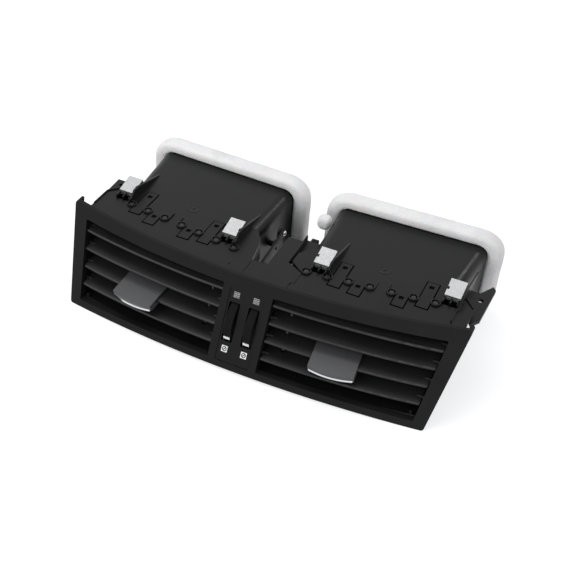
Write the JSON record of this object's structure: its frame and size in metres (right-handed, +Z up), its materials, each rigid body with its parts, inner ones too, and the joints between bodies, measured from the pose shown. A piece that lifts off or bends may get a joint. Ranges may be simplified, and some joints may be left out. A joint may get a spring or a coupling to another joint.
{
  "type": "dashboard air vent",
  "caption": "Twin centre dashboard air vent with tilting slats, sliding knobs that turn the vanes, thumbwheel dampers, duct housings with foam seals and spring clips.",
  "frame": {"origin": "centre of the base, at the lowest level of the bezel corners and foam rings", "axes": "+X to the right as seen from the cabin, +Y rearward into the dashboard, +Z up"},
  "size_m": [0.349, 0.1882, 0.0787],
  "materials": {
    "grained_face_plastic": "fine grained ABS",
    "housing_plastic": "satin moulded polypropylene",
    "blade_plastic": "satin moulded polyamide",
    "knob_plastic": "fine matte moulded plastic",
    "wheel_plastic": "satin moulded plastic with fine ridges",
    "damper_plastic": "satin moulded polypropylene",
    "acetal_linkage": "smooth moulded acetal",
    "white_mark": "white inlay",
    "chrome_trim": "bright chrome plating",
    "spring_steel": "dark phosphated spring steel",
    "axle_steel": "drawn steel",
    "seal_foam": "open-cell foam"
  },
  "bodies": {
    "vent_frame": {"bezel": "grained_face_plastic", "centre_plate": "grained_face_plastic", "wheel_carrier": "housing_plastic", "wheel_axle": "axle_steel", "foam_bumper": "seal_foam", "duct_housing_right": "housing_plastic", "vane_carrier_right": "housing_plastic", "foam_seal_right": "seal_foam", "clip_outer_right": "spring_steel", "clip_inner_right": "spring_steel", "duct_housing_left": "housing_plastic", "vane_carrier_left": "housing_plastic", "foam_seal_left": "seal_foam", "clip_outer_left": "spring_steel", "clip_inner_left": "spring_steel"},
    "right_slat_1": {"slat_right_1": "blade_plastic"},
    "right_slat_2": {"slat_right_2": "blade_plastic"},
    "right_slat_3": {"slat_right_3": "blade_plastic"},
    "right_slat_4": {"slat_right_4": "blade_plastic"},
    "right_slat_tie_bar": {"slat_tie_bar_right": "acetal_linkage"},
    "right_knob": {"knob_right": "knob_plastic", "knob_trim_right": "chrome_trim"},
    "right_vane_1": {"vane_right_1": "blade_plastic"},
    "right_vane_2": {"vane_right_2": "blade_plastic"},
    "right_vane_3": {"vane_right_3": "blade_plastic"},
    "right_vane_4": {"vane_right_4": "blade_plastic"},
    "right_vane_5": {"vane_right_5": "blade_plastic"},
    "right_vane_6": {"vane_right_6": "blade_plastic"},
    "right_vane_7": {"vane_right_7": "blade_plastic"},
    "right_vane_tie_bar": {"vane_tie_bar_right": "acetal_linkage"},
    "right_thumbwheel": {"thumbwheel_right": "wheel_plastic", "wheel_mark_right": "white_mark"},
    "right_damper": {"damper_right": "damper_plastic", "damper_crank_right": "acetal_linkage"},
    "right_link_rod": {"link_rod_right": "acetal_linkage"},
    "left_slat_1": {"slat_left_1": "blade_plastic"},
    "left_slat_2": {"slat_left_2": "blade_plastic"},
    "left_slat_3": {"slat_left_3": "blade_plastic"},
    "left_slat_4": {"slat_left_4": "blade_plastic"},
    "left_slat_tie_bar": {"slat_tie_bar_left": "acetal_linkage"},
    "left_knob": {"knob_left": "knob_plastic", "knob_trim_left": "chrome_trim"},
    "left_vane_1": {"vane_left_1": "blade_plastic"},
    "left_vane_2": {"vane_left_2": "blade_plastic"},
    "left_vane_3": {"vane_left_3": "blade_plastic"},
    "left_vane_4": {"vane_left_4": "blade_plastic"},
    "left_vane_5": {"vane_left_5": "blade_plastic"},
    "left_vane_6": {"vane_left_6": "blade_plastic"},
    "left_vane_7": {"vane_left_7": "blade_plastic"},
    "left_vane_tie_bar": {"vane_tie_bar_left": "acetal_linkage"},
    "left_thumbwheel": {"thumbwheel_left": "wheel_plastic", "wheel_mark_left": "white_mark"},
    "left_damper": {"damper_left": "damper_plastic", "damper_crank_left": "acetal_linkage"},
    "left_link_rod": {"link_rod_left": "acetal_linkage"}
  },
  "joints": [
    {"name": "right_slat_1_tilt", "type": "hinge", "parent": "vent_frame", "child": "right_slat_1", "pos_m": [0.0885, -0.05109, 0.0596], "axis": [0.9949, 0.1011, 0], "range_deg": [-32, 8]},
    {"name": "right_slat_2_tilt", "type": "hinge", "parent": "vent_frame", "child": "right_slat_2", "pos_m": [0.0885, -0.05749, 0.04587], "axis": [0.9949, 0.1011, 0], "range_deg": [-32, 8]},
    {"name": "right_slat_3_tilt", "type": "hinge", "parent": "vent_frame", "child": "right_slat_3", "pos_m": [0.0885, -0.0639, 0.03214], "axis": [0.9949, 0.1011, 0], "range_deg": [-32, 8]},
    {"name": "right_slat_4_tilt", "type": "hinge", "parent": "vent_frame", "child": "right_slat_4", "pos_m": [0.0885, -0.0703, 0.01841], "axis": [0.9949, 0.1011, 0], "range_deg": [-32, 8]},
    {"name": "right_slat_tie_bar_turn", "type": "hinge", "parent": "right_slat_3", "child": "right_slat_tie_bar", "pos_m": [0.03521, -0.06144, 0.0338], "axis": [0.9949, 0.1011, 0], "range_deg": [-8, 32]},
    {"name": "right_knob_slide", "type": "slide", "parent": "right_slat_3", "child": "right_knob", "axis": [0.9949, 0.1011, 0], "range_m": [-0.0019, 0.0221]},
    {"name": "right_vane_1_turn", "type": "hinge", "parent": "vent_frame", "child": "right_vane_1", "pos_m": [0.03258, -0.02532, 0.0372], "axis": [0, 0, 1], "range_deg": [-4.3, 48.8]},
    {"name": "right_vane_2_turn", "type": "hinge", "parent": "vent_frame", "child": "right_vane_2", "pos_m": [0.05006, -0.02321, 0.0372], "axis": [0, 0, 1], "range_deg": [-4.3, 48.8]},
    {"name": "right_vane_3_turn", "type": "hinge", "parent": "vent_frame", "child": "right_vane_3", "pos_m": [0.06753, -0.02109, 0.0372], "axis": [0, 0, 1], "range_deg": [-4.3, 48.8]},
    {"name": "right_vane_4_turn", "type": "hinge", "parent": "vent_frame", "child": "right_vane_4", "pos_m": [0.085, -0.01898, 0.0372], "axis": [0, 0, 1], "range_deg": [-4.3, 48.8]},
    {"name": "right_vane_5_turn", "type": "hinge", "parent": "vent_frame", "child": "right_vane_5", "pos_m": [0.10247, -0.01686, 0.0372], "axis": [0, 0, 1], "range_deg": [-4.3, 48.8]},
    {"name": "right_vane_6_turn", "type": "hinge", "parent": "vent_frame", "child": "right_vane_6", "pos_m": [0.11994, -0.01475, 0.0372], "axis": [0, 0, 1], "range_deg": [-4.3, 48.8]},
    {"name": "right_vane_7_turn", "type": "hinge", "parent": "vent_frame", "child": "right_vane_7", "pos_m": [0.13742, -0.01264, 0.0372], "axis": [0, 0, 1], "range_deg": [-4.3, 48.8]},
    {"name": "right_vane_tie_bar_turn", "type": "hinge", "parent": "right_vane_4", "child": "right_vane_tie_bar", "pos_m": [0.08712, -0.01126, 0.0078], "axis": [0, 0, 1], "range_deg": [-48.8, 4.3]},
    {"name": "right_thumbwheel_turn", "type": "hinge", "parent": "vent_frame", "child": "right_thumbwheel", "pos_m": [0.0086, -0.05843, 0.02921], "axis": [-1, 0, 0], "range_deg": [0, 62]},
    {"name": "right_damper_turn", "type": "hinge", "parent": "vent_frame", "child": "right_damper", "pos_m": [0.06, 0.03202, 0.0391], "axis": [-1, 0, 0], "range_deg": [0, 62]},
    {"name": "right_link_rod_turn", "type": "hinge", "parent": "right_thumbwheel", "child": "right_link_rod", "pos_m": [0.0142, -0.05507, 0.04177], "axis": [-1, 0, 0], "range_deg": [-62, 0]},
    {"name": "left_slat_1_tilt", "type": "hinge", "parent": "vent_frame", "child": "left_slat_1", "pos_m": [-0.0885, -0.05109, 0.0596], "axis": [0.9949, -0.1011, 0], "range_deg": [-32, 8]},
    {"name": "left_slat_2_tilt", "type": "hinge", "parent": "vent_frame", "child": "left_slat_2", "pos_m": [-0.0885, -0.05749, 0.04587], "axis": [0.9949, -0.1011, 0], "range_deg": [-32, 8]},
    {"name": "left_slat_3_tilt", "type": "hinge", "parent": "vent_frame", "child": "left_slat_3", "pos_m": [-0.0885, -0.0639, 0.03214], "axis": [0.9949, -0.1011, 0], "range_deg": [-32, 8]},
    {"name": "left_slat_4_tilt", "type": "hinge", "parent": "vent_frame", "child": "left_slat_4", "pos_m": [-0.0885, -0.0703, 0.01841], "axis": [0.9949, -0.1011, 0], "range_deg": [-32, 8]},
    {"name": "left_slat_tie_bar_turn", "type": "hinge", "parent": "left_slat_3", "child": "left_slat_tie_bar", "pos_m": [-0.03521, -0.06144, 0.0338], "axis": [0.9949, -0.1011, 0], "range_deg": [-8, 32]},
    {"name": "left_knob_slide", "type": "slide", "parent": "left_slat_3", "child": "left_knob", "axis": [0.9949, -0.1011, 0], "range_m": [-0.0071, 0.0169]},
    {"name": "left_vane_1_turn", "type": "hinge", "parent": "vent_frame", "child": "left_vane_1", "pos_m": [-0.03258, -0.02532, 0.0372], "axis": [0, 0, 1], "range_deg": [-15.7, 37.3]},
    {"name": "left_vane_2_turn", "type": "hinge", "parent": "vent_frame", "child": "left_vane_2", "pos_m": [-0.05006, -0.02321, 0.0372], "axis": [0, 0, 1], "range_deg": [-15.7, 37.3]},
    {"name": "left_vane_3_turn", "type": "hinge", "parent": "vent_frame", "child": "left_vane_3", "pos_m": [-0.06753, -0.02109, 0.0372], "axis": [0, 0, 1], "range_deg": [-15.7, 37.3]},
    {"name": "left_vane_4_turn", "type": "hinge", "parent": "vent_frame", "child": "left_vane_4", "pos_m": [-0.085, -0.01898, 0.0372], "axis": [0, 0, 1], "range_deg": [-15.7, 37.3]},
    {"name": "left_vane_5_turn", "type": "hinge", "parent": "vent_frame", "child": "left_vane_5", "pos_m": [-0.10247, -0.01686, 0.0372], "axis": [0, 0, 1], "range_deg": [-15.7, 37.3]},
    {"name": "left_vane_6_turn", "type": "hinge", "parent": "vent_frame", "child": "left_vane_6", "pos_m": [-0.11994, -0.01475, 0.0372], "axis": [0, 0, 1], "range_deg": [-15.7, 37.3]},
    {"name": "left_vane_7_turn", "type": "hinge", "parent": "vent_frame", "child": "left_vane_7", "pos_m": [-0.13742, -0.01264, 0.0372], "axis": [0, 0, 1], "range_deg": [-15.7, 37.3]},
    {"name": "left_vane_tie_bar_turn", "type": "hinge", "parent": "left_vane_4", "child": "left_vane_tie_bar", "pos_m": [-0.08257, -0.01136, 0.0078], "axis": [0, 0, 1], "range_deg": [-37.3, 15.7]},
    {"name": "left_thumbwheel_turn", "type": "hinge", "parent": "vent_frame", "child": "left_thumbwheel", "pos_m": [-0.0086, -0.05843, 0.02921], "axis": [-1, 0, 0], "range_deg": [0, 62]},
    {"name": "left_damper_turn", "type": "hinge", "parent": "vent_frame", "child": "left_damper", "pos_m": [-0.06, 0.03202, 0.0391], "axis": [-1, 0, 0], "range_deg": [0, 62]},
    {"name": "left_link_rod_turn", "type": "hinge", "parent": "left_thumbwheel", "child": "left_link_rod", "pos_m": [-0.0142, -0.05507, 0.04177], "axis": [-1, 0, 0], "range_deg": [-62, 0]}
  ],
  "couplings": [
    {"joint": "right_slat_1_tilt", "follows": "right_slat_3_tilt", "ratio": 1},
    {"joint": "right_slat_2_tilt", "follows": "right_slat_3_tilt", "ratio": 1},
    {"joint": "right_slat_4_tilt", "follows": "right_slat_3_tilt", "ratio": 1},
    {"joint": "right_slat_tie_bar_turn", "follows": "right_slat_3_tilt", "ratio": -1},
    {"joint": "right_vane_1_turn", "follows": "right_knob_slide", "rad_per_m": 38.462},
    {"joint": "right_vane_2_turn", "follows": "right_knob_slide", "rad_per_m": 38.462},
    {"joint": "right_vane_3_turn", "follows": "right_knob_slide", "rad_per_m": 38.462},
    {"joint": "right_vane_4_turn", "follows": "right_knob_slide", "rad_per_m": 38.462},
    {"joint": "right_vane_5_turn", "follows": "right_knob_slide", "rad_per_m": 38.462},
    {"joint": "right_vane_6_turn", "follows": "right_knob_slide", "rad_per_m": 38.462},
    {"joint": "right_vane_7_turn", "follows": "right_knob_slide", "rad_per_m": 38.462},
    {"joint": "right_vane_tie_bar_turn", "follows": "right_knob_slide", "rad_per_m": -38.462},
    {"joint": "right_damper_turn", "follows": "right_thumbwheel_turn", "ratio": 1},
    {"joint": "right_link_rod_turn", "follows": "right_thumbwheel_turn", "ratio": -1},
    {"joint": "left_slat_1_tilt", "follows": "left_slat_3_tilt", "ratio": 1},
    {"joint": "left_slat_2_tilt", "follows": "left_slat_3_tilt", "ratio": 1},
    {"joint": "left_slat_4_tilt", "follows": "left_slat_3_tilt", "ratio": 1},
    {"joint": "left_slat_tie_bar_turn", "follows": "left_slat_3_tilt", "ratio": -1},
    {"joint": "left_vane_1_turn", "follows": "left_knob_slide", "rad_per_m": 38.462},
    {"joint": "left_vane_2_turn", "follows": "left_knob_slide", "rad_per_m": 38.462},
    {"joint": "left_vane_3_turn", "follows": "left_knob_slide", "rad_per_m": 38.462},
    {"joint": "left_vane_4_turn", "follows": "left_knob_slide", "rad_per_m": 38.462},
    {"joint": "left_vane_5_turn", "follows": "left_knob_slide", "rad_per_m": 38.462},
    {"joint": "left_vane_6_turn", "follows": "left_knob_slide", "rad_per_m": 38.462},
    {"joint": "left_vane_7_turn", "follows": "left_knob_slide", "rad_per_m": 38.462},
    {"joint": "left_vane_tie_bar_turn", "follows": "left_knob_slide", "rad_per_m": -38.462},
    {"joint": "left_damper_turn", "follows": "left_thumbwheel_turn", "ratio": 1},
    {"joint": "left_link_rod_turn", "follows": "left_thumbwheel_turn", "ratio": -1}
  ]
}
